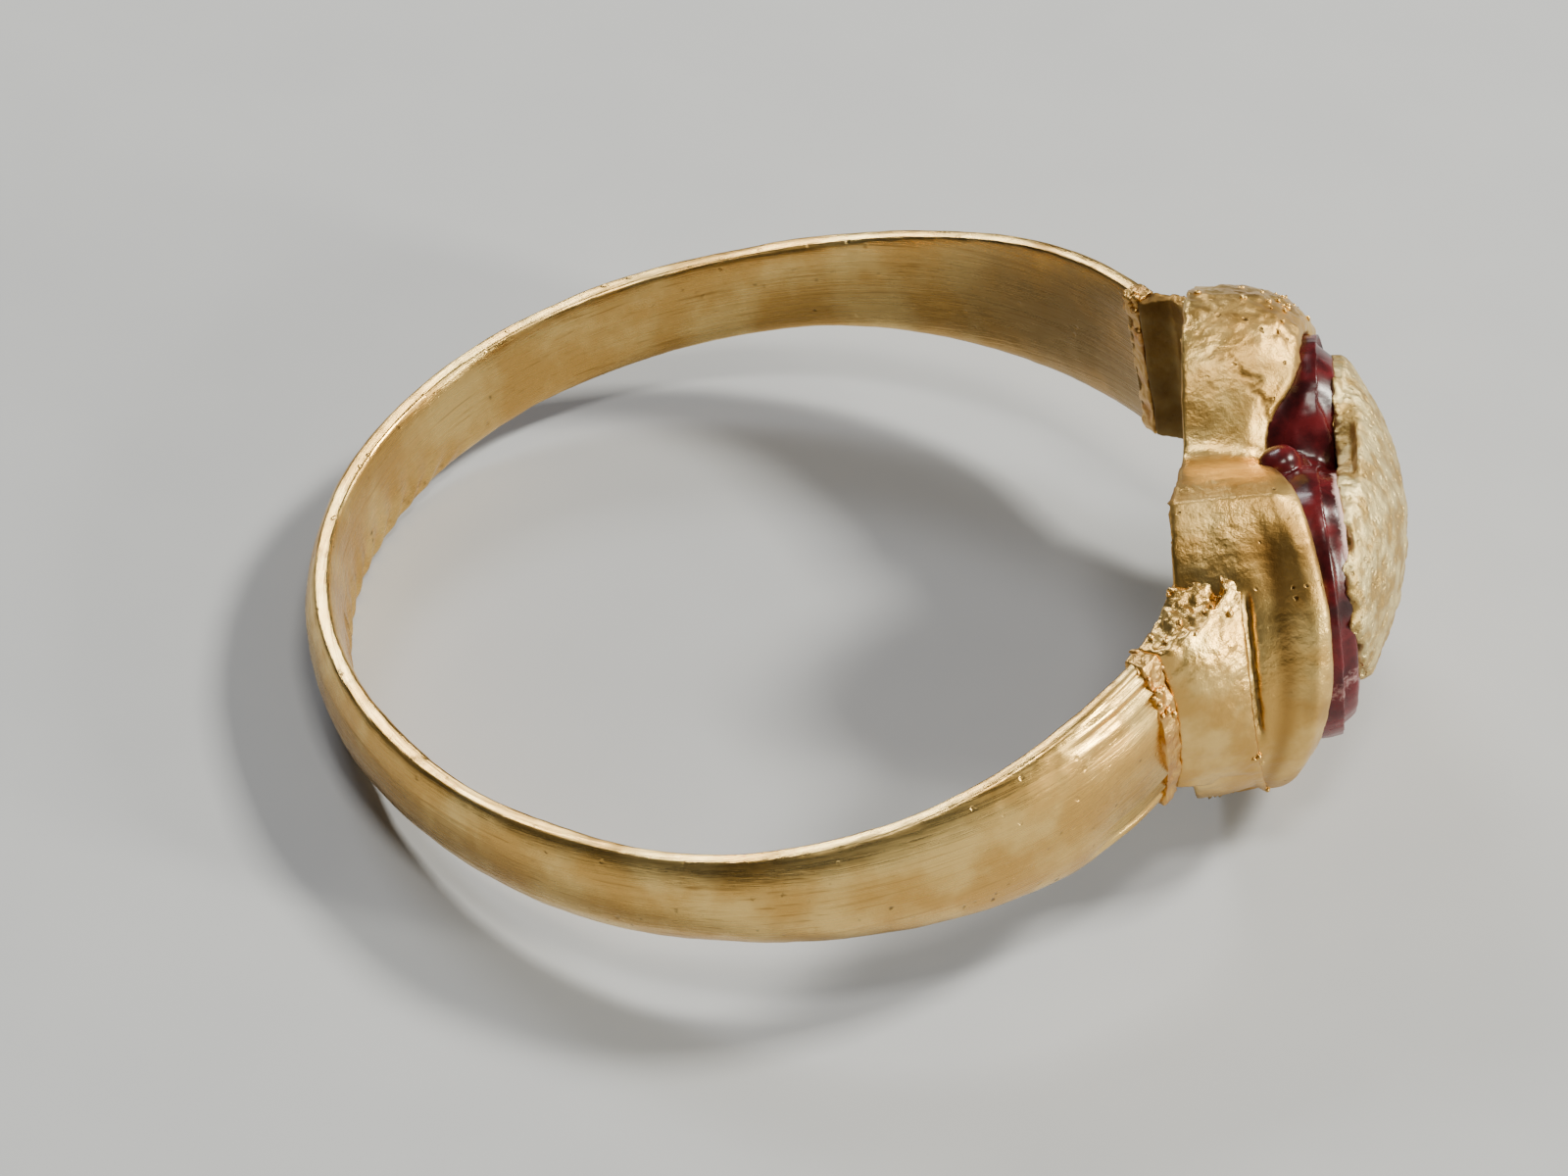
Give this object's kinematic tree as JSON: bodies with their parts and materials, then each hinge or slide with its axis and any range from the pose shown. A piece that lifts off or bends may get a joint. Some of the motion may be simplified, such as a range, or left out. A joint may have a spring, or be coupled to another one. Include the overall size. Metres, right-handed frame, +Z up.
{
  "type": "finger ring",
  "caption": "Gold finger ring with a thin D-section band, flared soldered shoulders and a cleft two-lobed head holding a red enamel border round a domed crest.",
  "frame": {"origin": "centre of the footprint, on the surface that the ring lies on", "axes": "+Z up as the ring lies on its side, +X from the back of the band towards the head, +Y the far side of the head"},
  "size_m": [0.0212, 0.0186, 0.008],
  "materials": {
    "band_gold": "worn polished yellow gold with fine lengthwise scratches",
    "head_gold": "worn satin yellow gold with pits, file marks and cast granules",
    "crest_gold": "stippled pale gold, bright where rubbed",
    "solder": "lumpy pinkish solder",
    "red_enamel": "dark red glassy enamel, scuffed along its top"
  },
  "bodies": {
    "root": {"shank": "band_gold", "near_solder_seam": "solder", "far_solder_seam": "solder", "near_shoulder": "band_gold", "far_shoulder": "band_gold", "bezel_wall": "head_gold", "bezel_floor": "head_gold", "crest_riser": "head_gold", "enamel_border": "red_enamel", "crest_dome": "crest_gold"}
  },
  "joints": []
}
